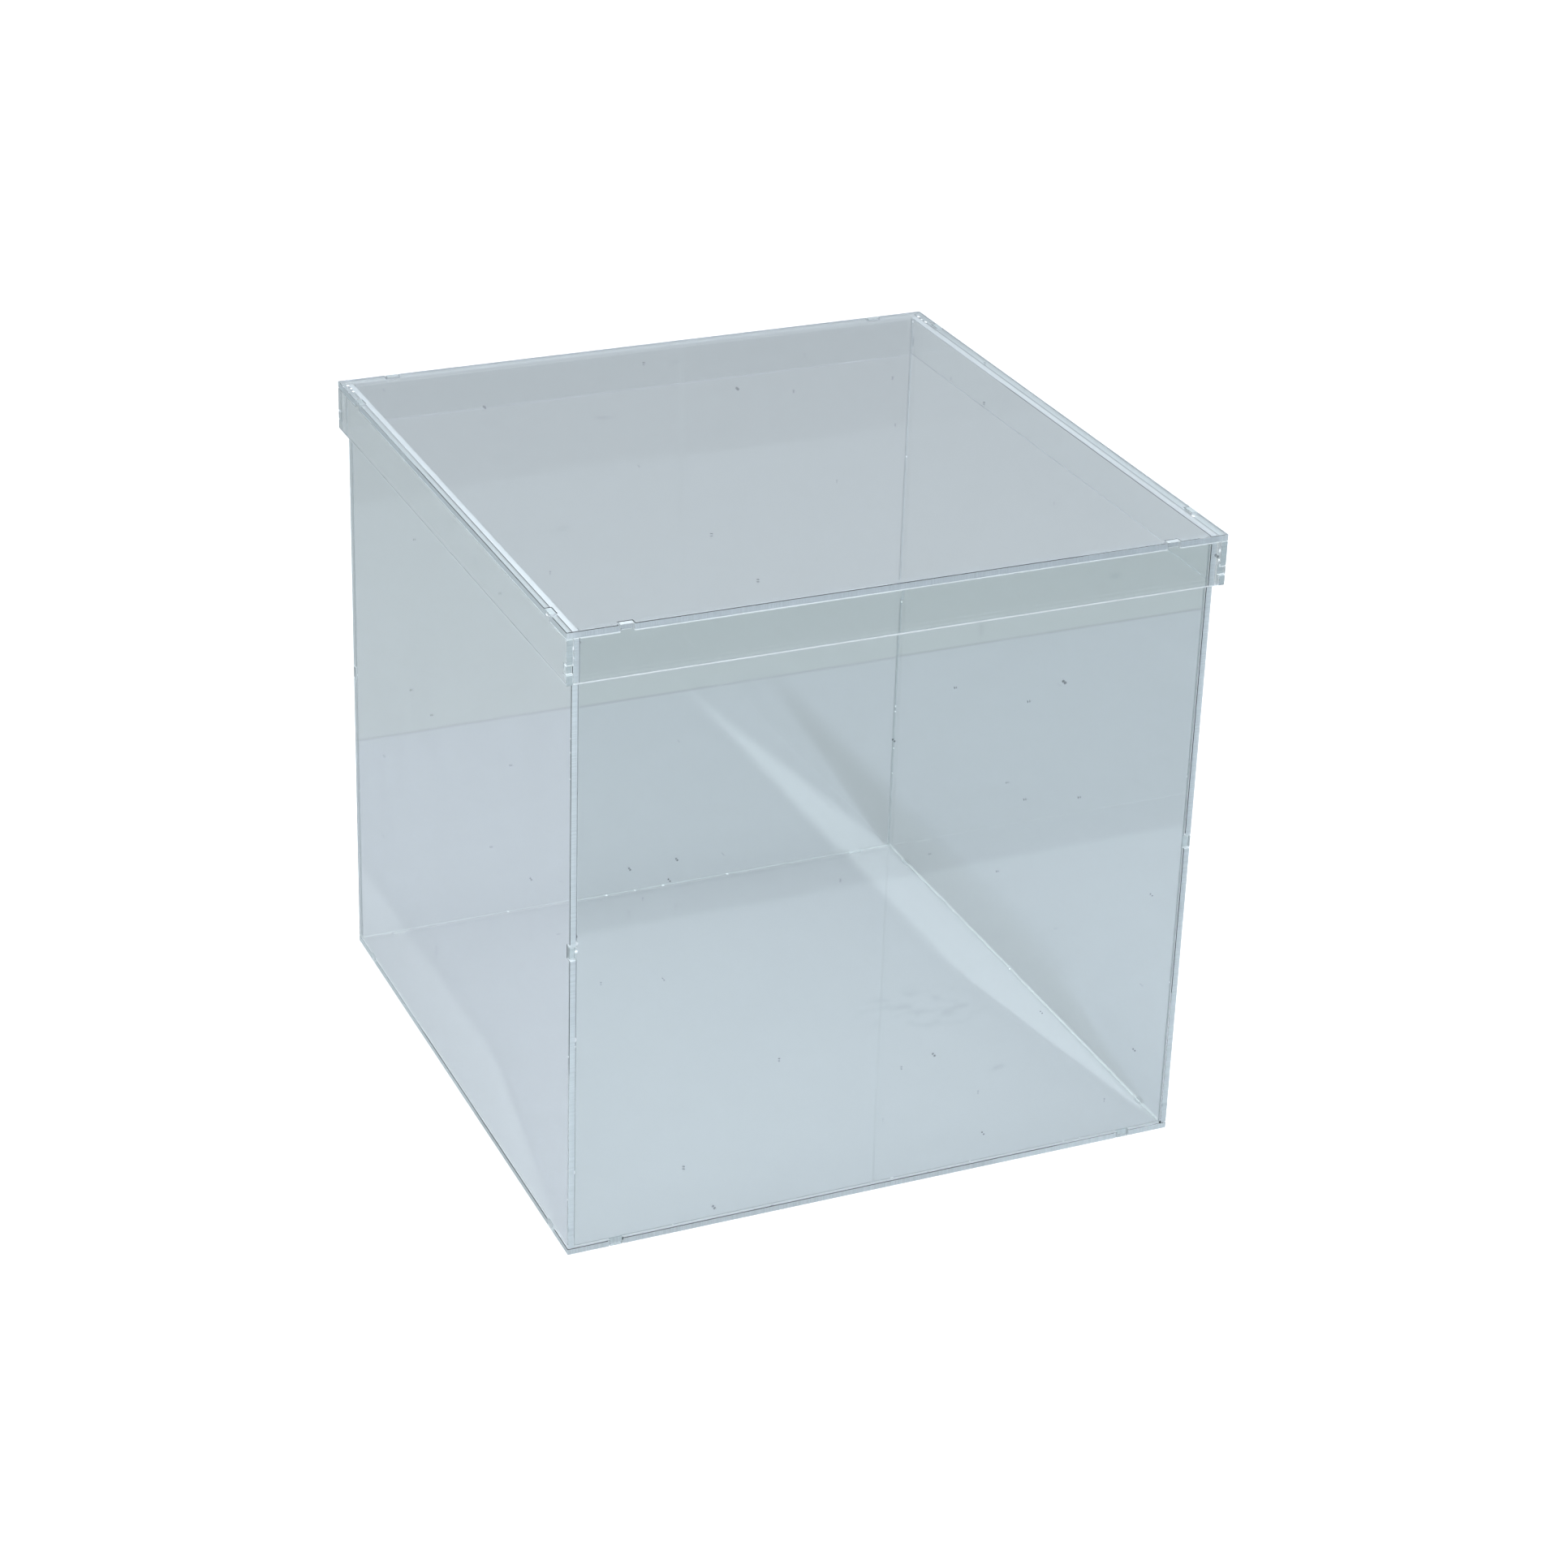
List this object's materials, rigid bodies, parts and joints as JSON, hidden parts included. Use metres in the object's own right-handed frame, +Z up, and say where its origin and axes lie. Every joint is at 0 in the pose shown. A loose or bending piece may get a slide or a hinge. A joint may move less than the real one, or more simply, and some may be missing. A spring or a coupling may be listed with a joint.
{
  "type": "display cube",
  "caption": "Clear acrylic display cube with a lift-off lid whose skirts hang over the walls, made of flat sheets locked by small tabs and cemented.",
  "frame": {"origin": "middle of the footprint, on the surface that the case stands on", "axes": "+Z up, the way the lid lifts off; +Y towards the back wall, along the slightly deeper side; +X to the right"},
  "size_m": [0.3074, 0.3104, 0.3033],
  "materials": {
    "case_acrylic": "polished",
    "lid_acrylic": "polished"
  },
  "bodies": {
    "case": {"base_panel": "case_acrylic", "front_wall": "case_acrylic", "back_wall": "case_acrylic", "left_wall": "case_acrylic", "right_wall": "case_acrylic"},
    "lid": {"lid_panel": "lid_acrylic", "front_skirt": "lid_acrylic", "back_skirt": "lid_acrylic", "left_skirt": "lid_acrylic", "right_skirt": "lid_acrylic"}
  },
  "joints": [
    {"name": "lid_lift", "type": "slide", "parent": "case", "child": "lid", "axis": [0, 0, 1], "range_m": [0, 0.12]}
  ]
}
